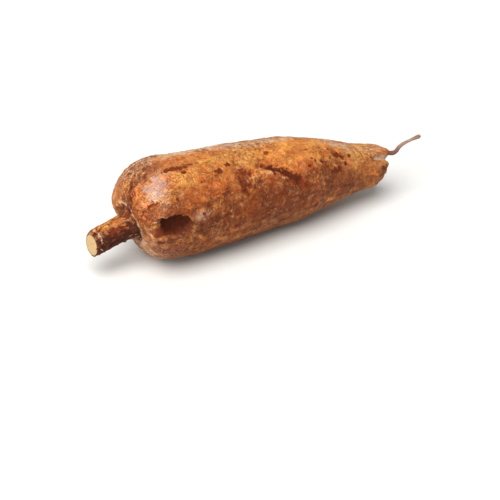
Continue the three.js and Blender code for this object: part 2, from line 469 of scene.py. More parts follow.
# Wrinkles: [distance, angle] places along each, its width and its depth. Those with a negative depth
# stand up, and their tops get a painted highlight.
wrinkles = [
    ([(81, 39), (87, 43), (93, 44.5), (99, 43), (106, 38.5), (112, 32)], 2.6, -0.8),
    ([(86, 36), (95, 37), (102, 34), (109, 27)], 1.6, 0.5),
    ([(-1, 20), (3, 19), (6, 18)], 1.3, -0.6),
    ([(-3, 36), (-0.5, 16), (3, 1), (9, -5), (18, -9)], 0.9, 0.5),
    ([(-3.5, 16), (-1, -4), (4, -16), (10, -20), (20, -24)], 0.9, 0.45),
    ([(-1, 28), (1.5, 18), (5, 12)], 0.8, 0.4),
    ([(-2, -24), (2, -38), (9, -44)], 1.1, 0.45),
    ([(4, 91), (1, 82), (-1.6, 73), (-4.5, 62)], 1.5, 0.7),
    ([(74, 44), (75, 34), (78, 22)], 1.6, 0.6),
    ([(183, 80), (186, 62), (185, 44)], 1.6, 0.45),
    ([(189, 84), (192, 66), (194, 48)], 1.5, 0.45),
    ([(176, 76), (179, 64), (181, 56)], 1.4, 0.35),
    ([(142, 74), (146, 64), (144, 54)], 1.4, 0.35),
    ([(20, 150), (23, 172), (21, 196)], 1.8, 0.6),
    ([(96, 168), (99, 186), (97, 204)], 1.6, 0.5),
    ([(172, 150), (175, 170), (172, 192)], 1.6, 0.5),
]

# The pit under the scar's ledge: sharp above and fading out below. Its middle, lean, half sizes and
# depth.
pit = {"distance": 16.8, "angle": 14, "lean": -0.15, "long": 11.6, "high": 7.2, "deep": 1.7}

# Spots of bark with a look of their own: [distance, angle, half along, half round].
barkSpots = {
    "waxed": (12.8, 59, 6.6, 9.5),
    "combed": (9, 94, 11, 20),
    "crackled": (11, 96, 12, 16),
    "banded": (187, 66, 14, 20),
    "scalyRing": (78, 35, 8, 18),
    "plainLobe": (3, -14, 15, 18),
    "plainTop": (125, 68, 40, 18),
    "plainFace": (18, 50, 12, 12),
}

# How far the bark's fine forms stand out or go in, in millimetres.
fineForms = {
    "lump": 0.3,
    "pebble": 0.14,
    "wrinkle": 0.4,
    "groove": 0.3,
    "flake": 0.3,
    "stain": 0.25,
    "collarFold": 0.3,
    "tipRib": 0.35,
    "brow": 0.8,
    "scarFibre": 0.4,
    "pauseRing": 0.7,
    "slantingCrease": 0.8,
    "comb": 0.35,
    "splitMouth": 1.4,
    "lobeFold": 0.8,
    "neckTop": 0.9,
    "neckFlare": 2.6,
    "neckString": 0.42,
    "neckRings": (0.4, 0.3),
    "neckKnot": 1.1,
    "sawMark": 0.07,
    "pith": 0.5,
    "sunk": 0.2,    # the whole bark, so that what stands out of it keeps to the root's size
}

# Small swells: [distance, angle, reach along, reach round, height], and the radii of the root
# between which each one grows in.
fineSwells = [
    (-6, 160, 6, 13, 3.2, 13, 19),    # the upper lobe's outer rim comes down beside the neck
    (16, 37, 15, 5.5, -1.1, 0, 1),    # a flattened face between the torn edge and the scar's brow
    (3.5, 5, 4.5, 9, 2.6, 24, 30),    # the skin left of the scar is fuller
]


def rootSkin():
    shape = rootShape
    outline = evenly(smoothLine(shape["outline"]), shape["rings"])
    cutDistance, cutRadius = shape["outline"][0]
    cutRadii = np.linspace(0, cutRadius, shape["cutRings"], endpoint=False)
    cut = np.column_stack([np.full(shape["cutRings"], cutDistance), cutRadii])
    mesh = spunSkin("rootSkin", np.vstack([cut, outline]), shape["sides"])

    straight = placesOf(mesh)
    a, radius = straight[:, 0], np.hypot(straight[:, 1], straight[:, 2])
    phi = np.arctan2(straight[:, 2], -straight[:, 1])
    skin = {"a": a, "phi": phi, "radius": radius}
    pushed = straight + placesOf(mesh, "normal") * mainRelief(skin)[:, None]
    leaning = sawCut["slope"] * (1 - ease(a, sawCut["from"], sawCut["to"]))
    pushed[:, 0] += leaning * radius * np.cos(phi - math.radians(sawCut["angle"]))
    line = smoothLine(shape["centreline"])
    places = bendAlong(line, line[:, 0], pushed) + shape["middle"]
    movePlaces(mesh, places)

    # the bark's grain runs along the skin, and closes up towards the neck and the tip
    alongSkin = np.zeros(len(a))
    mesh.attributes["alongSkin"].data.foreach_get("value", alongSkin)
    spread = np.where(alongSkin < shape["neckRun"], radius, shape["grainRadius"])
    skin["places"] = places
    skin["flow"] = np.column_stack([alongSkin, -spread * np.cos(phi), spread * np.sin(phi)])
    skin["cut"] = alongSkin < cutRadius + 0.1
    markSkin(skin)
    places = places + placesOf(mesh, "normal") * fineRelief(skin)[:, None]
    places[:, 2] = np.maximum(places[:, 2], 0)
    movePlaces(mesh, places * mm)
    paintSkin(mesh, skin)
    for face in mesh.polygons:
        if all(skin["cut"][i] for i in face.vertices):
            face.material_index = 1
    print("root skin:", len(mesh.vertices), "points")
    return mesh, skin


def markSkin(skin):
    # what the bark is like at each point, mostly from 0 to 1
    a, places, flow = skin["a"], skin["places"], skin["flow"]
    for name in ("mottle", "speckle", "patchy"):
        skin[name] = lumps(places, name)
    near = {name: spot(skin, *place) for name, place in barkSpots.items()}
    scaly = lumps(places, "scaly") + 0.9 * bell((a - 4) / 18) + 0.6 * near["scalyRing"]
    plain = (1 - 0.8 * near["plainLobe"]) * (1 - 0.45 * near["plainTop"]) * (1 - 0.4 * bell((a - 195) / 20))
    skin["scaly"] = (0.3 + 0.7 * ease(scaly, -0.2, 0.7)) * plain
    skin["near"] = near
    skin["neck"] = onNeck(skin).astype(float)
    skin["collared"] = ease(np.cos(skin["phi"] - math.radians(62)), 0.3, 0.8) * (a < 1)
    skin["stainedAndCreaseShaded"] = stainAndCreaseShadeCover(skin)
    skin["slant"] = fromLine(skin, [creases[1][:2], creases[1][2:4], creases[2][2:4]])
    skin["pit"], skin["brow"] = scarPit(skin)
    skin["tornStep"], skin["tornPale"] = tornBark(skin)
    skin["bites"] = [depth * bell((fromLine(skin, line) + 0.5 * skin["mottle"]) / width)
                     for line, width, depth in wrinkles]
    skin["flaked"] = ease(lumps(flow, "flake") + 0.35 * skin["mottle"], 0.08, 0.2)
    skin["wrinkled"] = bell(lumps(flow, "wrinkle") / 0.13)
    skin["grooved"] = bell(lumps(flow, "groove") / 0.12)


def scarPit(skin):
    # how deep in the pit each point is, and how near to the brow above it
    beside = skin["a"] - pit["distance"]
    x = beside / pit["long"]
    above = past(skin, pit["angle"]) - pit["lean"] * beside
    upper = ease(above, -3, 2)
    edge = (np.abs(x) ** 3 + np.abs(above / pit["high"]) ** 3) ** (1 / 3)
    edge = edge + 0.12 * (skin["mottle"] + skin["speckle"]) * (0.3 + 0.7 * upper)
    inside = 1 - ease(edge, 0.3 + 0.5 * upper, 1.4 - 0.4 * upper)
    brow = bell((edge - 1.14) / 0.12) * ease(above, 2, 5) * ease(-x, -0.8, 0.2)
    return inside, brow


def stainAndCreaseShadeCover(skin):
    cover = np.zeros(len(skin["a"]))
    for *place, strength in stainsAndCreaseShade:
        edge = fromSpot(skin, *place) + 0.75 * skin["speckle"]
        cover = np.maximum(cover, strength * (1 - ease(edge, 0.55, 1.35)))
    return cover


def tornBark(skin):
    # each torn edge is a small step down to the bare bark below it, and partly pale
    a = skin["a"]
    step, pale = np.zeros(len(a)), np.zeros(len(a))
    for line, height, reach, paleness in tornEdges:
        at, angles = np.array(line, float).T
        above = past(skin, np.interp(a, at, angles)) + 0.9 * skin["mottle"]
        ends = ease(a, at[0] - 1, at[0] + 4) * (1 - ease(a, at[-1] - 4, at[-1] + 1))
        step += height * ends * ease(above, -0.5, 0.5) * bell(np.maximum(above, 0) / reach)
        pale = np.maximum(pale, paleness * ends * bell((above - 0.4) / 0.9))
    return step, pale


def fineRelief(skin):
    a, phi, radius, places, flow = (skin[key] for key in ("a", "phi", "radius", "places", "flow"))
    mottle, scaly, forms = skin["mottle"], skin["scaly"], fineForms
    body = ease(radius, 12, 20)
    wrinkly = ease(skin["patchy"] + 0.9 * bell(a / 14) + 0.6 * bell((a - 75) / 12), -0.3, 0.5)
    push = forms["lump"] * body * lumps(places, "lump")
    push += forms["pebble"] * scaly * (lumps(places, "pebble") + 0.35 * lumps(places, "grit"))
    push -= forms["wrinkle"] * body * scaly * wrinkly * skin["wrinkled"]
    push -= forms["groove"] * body * scaly * (1 - wrinkly) * skin["grooved"]
    push += forms["flake"] * body * (skin["flaked"] - 0.5)
    push += skin["tornStep"] - forms["stain"] * skin["stainedAndCreaseShaded"] - sum(skin["bites"])
    push -= forms["comb"] * skin["near"]["combed"] * lumps(flow, "comb")
    # small folds round the neck's collar, and ribs along the tip
    folds = np.cos(13 * phi + 1.3 * np.sin(3 * phi)) * bell((radius - 17) / 4) * (a < 2)
    push += forms["collarFold"] * folds
    push += forms["tipRib"] * np.sin(9 * phi + a / 14) * ease(a, 186, 206) * ease(radius, 3, 12)
    for *place, height, start, full in fineSwells:
        push += height * spot(skin, *place) * ease(radius, start, full)
    # the scar drops off sharply under its ledge, and its floor is fibrous
    push -= skin["pit"] * (pit["deep"] - forms["scarFibre"] * lumps(flow, "scarFibre"))
    push += forms["brow"] * skin["brow"]
    # the pause ring steps down, and the slanting crease bites in under its upper edge
    ring = ease(a + mottle, 71.5, 74.5) * (1 - ease(a, 78, 98)) * bell(past(skin, 38) / 17)
    push -= forms["pauseRing"] * ring
    push -= forms["slantingCrease"] * bell((skin["slant"] + 0.6 * mottle) / 1.9)
    # the tip's split is wider and deeper at its mouth
    push -= forms["splitMouth"] * bell(fromCrease(skin, tipSplit) / 3.4) * ease(a, 204, 212)
    # the fold between the two lobes of the shoulder is filled a little
    push += forms["lobeFold"] * bell(fromCrease(skin, creases[0]) / 3)
    # the neck is a little taller than it is wide, and flares where it grows into the shoulder
    neck = skin["neck"] * ease(radius, 8, 8.9)
    push += forms["neckTop"] * neck * ease(np.sin(phi), 0, 1)
    push += forms["neckFlare"] * bell((flow[:, 0] - 44) / 4) * skin["collared"]
    # its bark is stringy, with a knot and the faint rings of old leaf scars
    firstRing, secondRing = forms["neckRings"]
    stringy = forms["neckString"] * lumps(flow, "neckGrain")
    stringy -= forms["neckKnot"] * spot(skin, -8.7, 95, 3, 2.6)
    stringy += firstRing * bell((a + 15 + 1.5 * np.sin(phi)) / 1.3)
    stringy += secondRing * bell((a + 27 - 1.2 * np.sin(phi + 1)) / 1.1)
    push += neck * stringy
    sawn = forms["sawMark"] * np.sin(places[:, 2] * 4.2 + places[:, 1] * 1.4)
    sawn -= forms["pith"] * bell(radius / 1.5)
    return np.where(skin["cut"], sawn * (1 - ease(radius, 7, 8)), push - forms["sunk"])


def laidOn(colour, name, cover):
    # one of the bark's colours laid over what is there
    return colour + (np.array(linearColour(skinColours[name])) - colour) * cover[:, None]


def paintSkin(mesh, skin):
    a, phi, radius, near = skin["a"], skin["phi"], skin["radius"], skin["near"]
    mottle, speckle, collared = skin["mottle"], skin["speckle"], skin["collared"]
    colour = np.array(linearColour(skinColours["orange"]))
    colour = laidOn(colour, "ochre", ease(skin["patchy"] + 0.4 * mottle, -0.35, 0.45))
    for *place, name, strength in patches:
        edge = fromSpot(skin, *place) + 0.5 * mottle
        colour = laidOn(colour, name, strength * (1 - ease(edge, 0.4, 1.4)))
    # round the neck: a dusty lip below, then dark bark, a pale collar and painted shade in the socket
    colour = laidOn(colour, "dustAndSheen", 0.7 * bell((radius - 16.5) / 1.8) * (a < 1) * (phi < 0.5))
    colour = laidOn(colour, "umber", 0.8 * ease(radius, 10.8, 12) * (1 - ease(radius, 15, 17.5)) * collared)
    collar = bell((radius - 18.6 + 0.7 * mottle) / 1.1) * collared
    colour = laidOn(colour, "tan", collar)
    # painted shade in the socket where the neck goes into the shoulder, weaker on its upper front
    shaded = 0.7 - 0.45 * bell(past(skin, 60) / 14)
    colour = laidOn(colour, "darkBarkAndShade", shaded * bell((radius - 12.6) / 1.2) * (a > -3) * (a < 1))

    ring = bell((a - 74 + mottle) / 1.5) * bell(past(skin, 40) / 15)
    rough = ease(-np.cos(phi), 0, 0.5) * ease(skin["patchy"], -0.1, 0.6)
    plain = (1 - 0.7 * collar) * (1 - 0.5 * near["plainFace"])
    layers = {
        "skinColour": colour,
        "flow": skin["flow"],
        "stainedAndCreaseShaded": skin["stainedAndCreaseShaded"],
        # the scar's pit, painted dark: its darker bark, and painted shade under the ledge
        "shadedPit": skin["pit"],
        "split": bell(fromCrease(skin, tipSplit) / 2.7) * ease(a, 203, 207),
        "neck": skin["neck"],
        # the neck's front and underside: dark bark with painted shade
        "neckDarkAndShade": skin["neck"] * (1 - ease(np.abs(past(skin, -20)) / 11 + 0.3 * mottle, 0.7, 1.15)),
        "crackled": np.maximum(0.8 * near["crackled"], 0.7 * rough),
        "combed": near["combed"],
        "banded": near["banded"],
        # the waxed patch: smoother wax, and a painted highlight
        "waxed": 1 - ease(fromSpot(skin, *barkSpots["waxed"]) + 0.5 * mottle, 0.75, 1.1),
        "torn": np.maximum(skin["tornPale"], 0.6 * skin["brow"]) * ease(speckle, -0.35, 0.15),
        # painted highlight on the tops of the raised wrinkles
        "litRidges": -np.minimum.reduce(skin["bites"]) * ease(speckle + mottle, -0.5, 0.4),
        # painted shade in the slanting crease, the pause ring, the wrinkles and the fine grooves
        "creaseShade": np.maximum.reduce([bell((skin["slant"] + 1.4 * mottle) / 2.4), 0.7 * ring,
                                      1.7 * np.maximum.reduce(skin["bites"]),
                                      0.5 * skin["wrinkled"], 0.5 * skin["grooved"]]),
        "flaked": skin["flaked"],
        "scaly": skin["scaly"] * plain + 0.3 * near["plainLobe"],
    }
    for name, values in layers.items():
        paint(mesh, name, values)


def addNode(tree, kind, sockets=(), links=(), **settings):
    # a node with its settings, the values of its sockets and the outputs that feed them
    node = tree.nodes.new("ShaderNode" + kind)
    for name, value in settings.items():
        setattr(node, name, value)
    for name, value in dict(sockets).items():
        node.inputs[name].default_value = value
    for name, source in dict(links).items():
        tree.links.new(source, node.inputs[name])
    return node


def startMaterial(name):
    material = bpy.data.materials.new(name)
    material.use_nodes = True
    tree = material.node_tree
    tree.nodes.clear()
    surface = addNode(tree, "BsdfPrincipled")
    addNode(tree, "OutputMaterial", links={"Surface": surface.outputs["BSDF"]})
    return material, tree, surface


# Cassava bark: a papery brown cork skin, scrubbed and dipped in paraffin. The wax gives it a soft
# satin gloss; the cork under it is mottled, finely cracked and scaly.
barkFinish = {
    "roughness": (0.44, 0.68),         # on the smoothest and the scaliest bark
    "waxedRoughness": 0.29,
    "scarRoughness": 0.85,
    "waxCoat": 0.06,
    "coatRoughness": 0.35,
    "ior": 1.45,                       # paraffin wax
    "specularLevel": 0.14,
    "crackCell": (3.4, 5.4, 5.4),
    "poreCell": (6.5, 6.5, 6.5),
    "reliefDepth": 0.7,
    "waxedRelief": 0.35,               # the share of the relief left under thick wax
    "wanderScale": 0.12,               # the grain wanders to and fro every 8 mm or so
    "wanderReach": (9, 9, 9),
    "noise": {"Scale": 1, "Roughness": 0.62, "Distortion": 0.4},
    "noiseRange": (0.3, 0.7),          # where nearly all of the noise lies
    "flakeRagged": 0.4,                # how far the mottle shifts the edge of a flake
    "stainRagged": 0.35,               # how far the speckle shifts the edge of a stain
    "flakeEdge": (0.62, 0.7, 0.78),    # where a flake starts, its edge and where it is full
    # What is painted on each point of the skin, from 0 to 1
    "marks": ("stainedAndCreaseShaded", "shadedPit", "split", "neck", "neckDarkAndShade", "crackled", "combed", "banded", "waxed",
              "torn", "litRidges", "creaseShade", "flaked", "scaly"),
    # Patterns of noise: what they follow, their size in millimetres (along the root and across it
    # where they follow the skin), octaves, and whether only the noise's middle shows, as thin lines.
    "patterns": {
        "blotch": ("place", (10, 10, 10), 5, False),
        "mottle": ("place", (4, 4, 4), 5, False),
        "speckle": ("place", (2.1, 2.1, 2.1), 4, False),
        "grit": ("place", (0.9, 0.9, 0.9), 2, False),    # coarser than cork cells, so that it shows
        "streak": ("flow", (1.5, 7, 7), 3, False),
        "grain": ("flow", (9, 2, 2), 4, False),
        "wrinkle": ("flow", (2.4, 7, 7), 3, True),
        "groove": ("flow", (8, 2.4, 2.4), 3, True),
        "comb": ("flow", (9, 1.7, 1.7), 3, False),
        "band": ("flow", (2.7, 9, 9), 3, False),
        "scaling": ("flow", (13, 6, 6), 6, False),
        "peeling": ("flow", (9, 4.5, 4.5), 6, False),
        "flecks": ("flow", (3.4, 2, 2), 4, False),
    },
    # Thin layers of bark with crisp edges: the pattern they come from, where it starts and is full.
    "layers": {
        "upperLayer": ("scaling", 0.6, 0.66),
        "lowerLayer": ("scaling", 0.36, 0.3),
        "paleLayer": ("peeling", 0.66, 0.72),
        "redLayer": ("peeling", 0.3, 0.24),
        "darkFlecks": ("flecks", 0.84, 0.9),
        "paleFlecks": ("flecks", 0.13, 0.07),
    },
    # Each layer is lighter or darker than the bark's own colour, which middle grey leaves as it is.
    "layerShades": [
        ("#a88a70", "lowerLayer", 0.65),
        ("#d2cec2", "upperLayer", 0.65),
        ("#d6ccc0", "paleLayer", 0.6),
        ("#ba9880", "redLayer", 0.4),
        ("#cac4b8", "plates", 0.5),
    ],
    # Tints, in the order they are laid on: colour, pattern, the pattern's value where the tint starts
    # and where it is full, strength, and the pattern or mark that it keeps to.
    "tints": [
        ("#84401a", "blotch", 0.5, 0.9, 0.5, None),
        ("#dea56c", "blotch", 0.4, 0.1, 0.25, None),
        ("#6a280c", "mottle", 0.56, 0.95, 0.6, "scaly"),
        ("#e0b083", "mottle", 0.36, 0.05, 0.2, None),
        ("#d89a62", "comb", 0.44, 0.15, 0.7, "combed"),
        ("#5a2c14", "comb", 0.55, 0.85, 0.75, "combed"),
        ("#e2b684", "band", 0.44, 0.15, 0.6, "banded"),
        ("#a0541c", "band", 0.55, 0.85, 0.6, "banded"),
        ("#e6b890", "streak", 0.38, 0.05, 0.3, "crackled"),
        ("#5c260e", "streak", 0.58, 0.95, 0.5, "crackled"),
        ("#5e2409", "grain", 0.56, 0.95, 0.8, "scaly"),
        ("#d8a474", "grain", 0.4, 0.05, 0.22, "scaly"),
        ("#5c240a", "speckle", 0.66, 1.0, 0.7, "scaly"),
        ("#d8a070", "speckle", 0.34, 0.0, 0.25, "scaly"),
        ("#5a240c", "grit", 0.55, 1.0, 0.45, "scaly"),
        ("#52200b", "wrinkle", 0.14, 0.03, 0.7, "scaly"),
        ("#52200b", "groove", 0.14, 0.03, 0.7, "scaly"),
        ("#4a200e", "plateEdges", 0.05, 0.0, 0.6, "mottle"),
        ("#e8c4a6", "cracks", 0.18, 0.4, 0.3, "crackled"),
        ("#4f2413", "cracks", 0.12, 0.0, 0.75, "crackled"),
        ("#5a2206", "pores", 0.16, 0.08, 1.2, "mottle"),
        ("#642a0a", "darkFlecks", 0, 1, 0.75, "scaly"),
        ("#e6b68c", "paleFlecks", 0, 1, 0.5, "scaly"),
        ("#b9753c", "grain", 0.35, 0.0, 0.3, "neck"),
        ("#3a1208", "grain", 0.54, 0.85, 0.8, "neck"),
        # dark bark and painted shade on the neck's front and underside
        ("#3c1207", "neckDarkAndShade", 0.1, 0.6, 0.9, None),
        ("#9a552a", "comb", 0.55, 0.95, 0.5, "neckDarkAndShade"),
        # the stains, with painted shade where they run along the slanting crease
        ("#7a2f0e", "stainedAndCreaseShaded", 0.38, 0.55, 0.85, None),
        ("#5a2208", "stainedAndCreaseShaded", 0.6, 0.95, 0.8, None),
        # painted shade in the creases and wrinkles
        ("#451a05", "creaseShade", 0.3, 1.0, 0.6, None),
        # painted highlight on the tops of the raised wrinkles
        ("#d89c68", "litRidges", 0.2, 0.9, 0.6, None),
        ("#e6c29a", "torn", 0.3, 0.9, 1.3, "speckle"),
        # the pit: darker scar bark with painted shade under the overhanging ledge
        ("#54200a", "shadedPit", 0.05, 0.4, 0.85, None),
        ("#441505", "shadedPit", 0.3, 0.8, 0.9, None),
        ("#6a3a1e", "grain", 0.5, 0.9, 0.4, "shadedPit"),
        ("#b9927a", "split", 0.5, 0.85, 0.95, None),
        ("#8a5c3c", "grain", 0.5, 0.8, 0.7, "split"),
        # painted highlight: a pale pinkish grey over the waxed patch, where the gloss is also smoother
        ("#957f78", "waxed", 0.2, 1.0, 0.75, "grain"),
    ],
    # How high each pattern stands, as a share of the relief's depth
    "relief": {"mottle": 0.5, "plates": 0.9, "speckle": 0.12, "grit": 0.06, "streak": 0.3, "grain": 0.45,
               "cracks": 0.4, "wrinkle": 0.6, "comb": 0.3, "upperLayer": 0.25, "lowerLayer": -0.25,
               "paleLayer": 0.2, "darkFlecks": -0.3, "paleFlecks": 0.3},
}


def waxedBark():
    finish = barkFinish
    material, tree, surface = startMaterial("waxedCorkBark")
    metres = addNode(tree, "TexCoord").outputs["Object"]
    flow = addNode(tree, "Attribute", attribute_name="flow").outputs["Vector"]
    wander = addNode(tree, "TexNoise", {"Scale": finish["wanderScale"], "Detail": 4},
                     {"Vector": flow}).outputs["Color"]
    sources = {
        "place": addNode(tree, "VectorMath", {"Scale": 1 / mm}, {0: metres}, operation="SCALE").outputs[0],
        "flow": addNode(tree, "VectorMath", {1: finish["wanderReach"]}, {0: wander, 2: flow},
                        operation="MULTIPLY_ADD").outputs[0],
    }
    patterns = {}
    for name in finish["marks"]:
        patterns[name] = addNode(tree, "Attribute", attribute_name=name).outputs["Fac"]
    sizes = {name: values[:2] for name, values in finish["patterns"].items()}
    sizes |= {"cracks": ("flow", finish["crackCell"]), "pores": ("place", finish["poreCell"])}
    sized = {}
    for name, (source, size) in sizes.items():
        sized[name] = addNode(tree, "VectorMath", {1: [1 / s for s in size]}, {0: sources[source]},
                              operation="MULTIPLY").outputs[0]
    low, high = finish["noiseRange"]
    for name, (source, size, octaves, asLines) in finish["patterns"].items():
        value = addNode(tree, "TexNoise", finish["noise"] | {"Detail": octaves},
                        {"Vector": sized[name]}).outputs["Fac"]
        if asLines:
            value = addNode(tree, "Math", {1: 0.5}, {0: value}, operation="SUBTRACT").outputs[0]
            value = addNode(tree, "Math", links={0: value}, operation="ABSOLUTE").outputs[0]
            value = addNode(tree, "Math", {1: low}, {0: value}, operation="ADD").outputs[0]
        # the noise keeps near its middle, so it is spread out to run from 0 to 1
        patterns[name] = addNode(tree, "MapRange", {"From Min": low, "From Max": high},
                                 {"Value": value}).outputs["Result"]
    patterns["cracks"] = addNode(tree, "TexVoronoi", {"Scale": 1}, {"Vector": sized["cracks"]},
                                 feature="DISTANCE_TO_EDGE").outputs["Distance"]
    patterns["pores"] = addNode(tree, "TexVoronoi", {"Scale": 1},
                                {"Vector": sized["pores"]}).outputs["Distance"]
    for name, (pattern, start, full) in finish["layers"].items():
        patterns[name] = addNode(tree, "MapRange", {"From Min": start, "From Max": full},
                                 {"Value": patterns[pattern]},
                                 interpolation_type="SMOOTHSTEP").outputs["Result"]

    # the edges of the flaked bark and of the stains, made ragged
    start, middle, full = finish["flakeEdge"]
    flaked = addNode(tree, "Math", {1: finish["flakeRagged"]},
                     {0: patterns["mottle"], 2: patterns["flaked"]}, operation="MULTIPLY_ADD").outputs[0]
    patterns["plates"] = addNode(tree, "MapRange", {"From Min": start, "From Max": full},
                                 {"Value": flaked}).outputs["Result"]
    edge = addNode(tree, "Math", {1: middle}, {0: flaked}, operation="SUBTRACT").outputs[0]
    patterns["plateEdges"] = addNode(tree, "Math", links={0: edge}, operation="ABSOLUTE").outputs[0]
    patterns["stainedAndCreaseShaded"] = addNode(tree, "Math", {1: finish["stainRagged"]},
                                  {0: patterns["speckle"], 2: patterns["stainedAndCreaseShaded"]},
                                  operation="MULTIPLY_ADD").outputs[0]

    colour = addNode(tree, "Attribute", attribute_name="skinColour").outputs["Color"]
    for code, layer, strength in finish["layerShades"]:
        cover = addNode(tree, "Math", {1: strength}, {0: patterns[layer]}, operation="MULTIPLY").outputs[0]
        colour = addNode(tree, "MixRGB", {"Color2": linearColour(code)}, {"Color1": colour, "Fac": cover},
                         blend_type="OVERLAY").outputs["Color"]
    for code, pattern, start, full, strength, mark in finish["tints"]:
        cover = addNode(tree, "MapRange", {"From Min": start, "From Max": full, "To Max": strength},
                        {"Value": patterns[pattern]}, interpolation_type="SMOOTHSTEP").outputs["Result"]
        if mark:
            cover = addNode(tree, "Math", links={0: cover, 1: patterns[mark]},
                            operation="MULTIPLY").outputs[0]
        colour = addNode(tree, "MixRGB", {"Color2": linearColour(code)},
                         {"Color1": colour, "Fac": cover}).outputs["Color"]

    smooth, scaly = finish["roughness"]
    gloss = addNode(tree, "MapRange", {"To Min": smooth, "To Max": scaly},
                    {"Value": patterns["speckle"]}).outputs["Result"]
    for mark, roughness in (("waxed", finish["waxedRoughness"]), ("shadedPit", finish["scarRoughness"])):
        gloss = addNode(tree, "Mix", {"B": roughness},
                        {"Factor": patterns[mark], "A": gloss}).outputs["Result"]

    height = None
    for name, share in finish["relief"].items():
        links = {0: patterns[name], 2: height} if height else {0: patterns[name]}
        height = addNode(tree, "Math", {1: share}, links, operation="MULTIPLY_ADD").outputs[0]
    crisp = addNode(tree, "MapRange", {"To Min": 1, "To Max": finish["waxedRelief"]},
                    {"Value": patterns["waxed"]}).outputs["Result"]
    bump = addNode(tree, "Bump", {"Distance": finish["reliefDepth"] * mm},
                   {"Height": height, "Strength": crisp})

    surface.inputs["IOR"].default_value = finish["ior"]
    surface.inputs["Specular IOR Level"].default_value = finish["specularLevel"]
    surface.inputs["Coat Weight"].default_value = finish["waxCoat"]
    surface.inputs["Coat Roughness"].default_value = finish["coatRoughness"]
    surface.inputs["Coat IOR"].default_value = finish["ior"]
    tree.links.new(colour, surface.inputs["Base Color"])
    tree.links.new(gloss, surface.inputs["Roughness"])
    tree.links.new(bump.outputs["Normal"], surface.inputs["Normal"])
    return material


# The neck's sawn end: pale dry wood, with a soft pith, faint growth rings and rays, left rough by the
# saw. Sizes are in millimetres.
sawnEnd = {
    "dark": "#967a4c",
    "pale": "#b99a6c",
    "tones": (0.3, 0.62),        # where the wood is dark and where it is pale
    "rim": "#5e3d22",
    "rimRadii": (7, 8),
    "pith": "#b98a58",
    "pithRadii": (1.7, 1.1),
    "ringTurn": 4.2,             # a growth ring every 1.5 mm
    "ringWobble": 1.6,
    "ringTone": 0.07,
    "rayScale": 14,
    "roughness": 0.75,
    "sawDepth": 0.2,
}


def sawnWood():
    wood = sawnEnd
    material, tree, surface = startMaterial("sawnCassavaWood")
    flow = addNode(tree, "Attribute", attribute_name="flow").outputs["Vector"]
    apart = addNode(tree, "SeparateXYZ", links={0: flow})
    across = addNode(tree, "CombineXYZ", links={1: apart.outputs[1], 2: apart.outputs[2]}).outputs[0]
    radius = addNode(tree, "VectorMath", links={0: across}, operation="LENGTH").outputs["Value"]
    wobble = addNode(tree, "TexNoise", {"Scale": 0.5, "Detail": 2}, {"Vector": across}).outputs["Fac"]
    rings = addNode(tree, "Math", {1: wood["ringWobble"]}, {0: wobble, 2: radius},
                    operation="MULTIPLY_ADD").outputs[0]
    rings = addNode(tree, "Math", {1: wood["ringTurn"]}, {0: rings}, operation="MULTIPLY").outputs[0]
    rings = addNode(tree, "Math", links={0: rings}, operation="SINE").outputs[0]
    spoke = addNode(tree, "VectorMath", links={0: across}, operation="NORMALIZE").outputs[0]
    rays = addNode(tree, "TexNoise", {"Scale": wood["rayScale"], "Detail": 2},
                   {"Vector": spoke}).outputs["Fac"]
    tone = addNode(tree, "Math", {1: wood["ringTone"]}, {0: rings, 2: rays},
                   operation="MULTIPLY_ADD").outputs[0]
    ramp = addNode(tree, "ValToRGB", links={"Fac": tone})
    for stop, at, code in zip(ramp.color_ramp.elements, wood["tones"], (wood["dark"], wood["pale"])):
        stop.position = at
        stop.color = linearColour(code)
    colour = ramp.outputs["Color"]
    for name in ("rim", "pith"):
        start, full = wood[name + "Radii"]
        cover = addNode(tree, "MapRange", {"From Min": start, "From Max": full},
                        {"Value": radius}).outputs["Result"]
        colour = addNode(tree, "MixRGB", {"Color2": linearColour(wood[name])},
                         {"Color1": colour, "Fac": cover}).outputs["Color"]
    bump = addNode(tree, "Bump", {"Strength": 0.5, "Distance": wood["sawDepth"] * mm}, {"Height": tone})
    surface.inputs["Roughness"].default_value = wood["roughness"]
    tree.links.new(colour, surface.inputs["Base Color"])
    tree.links.new(bump.outputs["Normal"], surface.inputs["Normal"])
    return material


# Dry fibre, matt and streaked along its length: the torn inner bark and the thin tail root. Sizes
# are in millimetres.
fibres = {
    "dryInnerBark": {"dark": "#a87258", "pale": "#e8c8b6", "base": "#8a5a44", "grain": (3, 0.8, 0.8)},
    "dryRootlet": {"dark": "#64463a", "pale": "#947864", "base": "#6a4433", "grain": (7, 0.9, 0.9)},
}


def dryFibre(name):
    finish = fibres[name]
    material, tree, surface = startMaterial(name)
    flow = addNode(tree, "Attribute", attribute_name="flow").outputs["Vector"]
    sized = addNode(tree, "VectorMath", {1: [1 / size for size in finish["grain"]]}, {0: flow},
                    operation="MULTIPLY").outputs[0]
    tone = addNode(tree, "TexNoise", {"Scale": 1, "Detail": 3}, {"Vector": sized}).outputs["Fac"]
    pale = addNode(tree, "MapRange", {"From Min": 0.35, "From Max": 0.62},
                   {"Value": tone}).outputs["Result"]
    streaks = {"Color1": linearColour(finish["dark"]), "Color2": linearColour(finish["pale"])}
    colour = addNode(tree, "MixRGB", streaks, {"Fac": pale}).outputs["Color"]
    based = addNode(tree, "Attribute", attribute_name="based").outputs["Fac"]
    colour = addNode(tree, "MixRGB", {"Color2": linearColour(finish["base"])},
                     {"Color1": colour, "Fac": based}).outputs["Color"]
    bump = addNode(tree, "Bump", {"Distance": 0.25 * mm}, {"Height": tone})
    surface.inputs["Roughness"].default_value = 0.7
    tree.links.new(colour, surface.inputs["Base Color"])
    tree.links.new(bump.outputs["Normal"], surface.inputs["Normal"])
    return material


